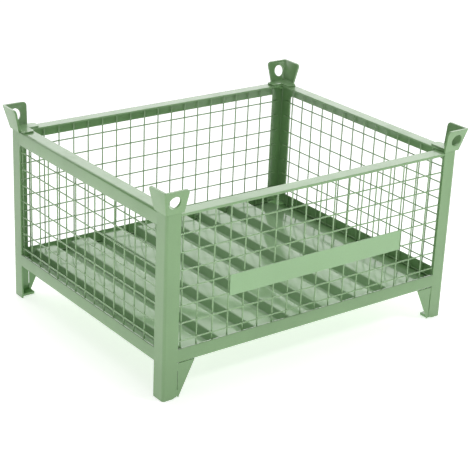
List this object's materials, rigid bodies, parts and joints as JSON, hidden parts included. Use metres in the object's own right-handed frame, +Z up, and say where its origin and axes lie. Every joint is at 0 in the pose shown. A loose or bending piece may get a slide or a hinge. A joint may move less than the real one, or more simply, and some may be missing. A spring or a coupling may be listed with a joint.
{
  "type": "wire mesh container",
  "caption": "Low welded steel stacking container on feet, with mesh walls, a corrugated floor, a blank label plate and flared corner cups with crane eyes.",
  "frame": {"origin": "on the ground at the middle of the footprint", "axes": "+X along the front wall to the right as seen from the front, +Y from the front wall to the back, +Z up"},
  "size_m": [1.0384, 0.8384, 0.591],
  "materials": {
    "frame_paint": "gloss paint, pale green",
    "mesh_paint": "gloss paint, pale green",
    "floor_paint": "high gloss paint, pale green",
    "label_paint": "satin paint, pale green"
  },
  "bodies": {
    "root": {"front_left_post": "frame_paint", "front_right_post": "frame_paint", "back_left_post": "frame_paint", "back_right_post": "frame_paint", "front_left_foot_gusset": "frame_paint", "front_right_foot_gusset": "frame_paint", "back_left_foot_gusset": "frame_paint", "back_right_foot_gusset": "frame_paint", "front_left_foot_plate": "frame_paint", "front_right_foot_plate": "frame_paint", "back_left_foot_plate": "frame_paint", "back_right_foot_plate": "frame_paint", "front_bottom_rail": "frame_paint", "back_bottom_rail": "frame_paint", "left_bottom_rail": "frame_paint", "right_bottom_rail": "frame_paint", "front_top_bar": "frame_paint", "back_top_rail": "frame_paint", "left_top_rail": "frame_paint", "right_top_rail": "frame_paint", "front_left_corner_plate": "frame_paint", "front_right_corner_plate": "frame_paint", "back_left_corner_plate": "frame_paint", "back_right_corner_plate": "frame_paint", "front_left_cup_foot": "frame_paint", "front_right_cup_foot": "frame_paint", "back_left_cup_foot": "frame_paint", "back_right_cup_foot": "frame_paint", "front_left_stacking_cup": "frame_paint", "front_right_stacking_cup": "frame_paint", "back_left_stacking_cup": "frame_paint", "back_right_stacking_cup": "frame_paint", "front_mesh_uprights": "mesh_paint", "front_mesh_levels": "mesh_paint", "back_mesh_uprights": "mesh_paint", "back_mesh_levels": "mesh_paint", "left_mesh_uprights": "mesh_paint", "left_mesh_levels": "mesh_paint", "right_mesh_uprights": "mesh_paint", "right_mesh_levels": "mesh_paint", "floor_sheet": "floor_paint", "label_plate": "label_paint"}
  },
  "joints": []
}
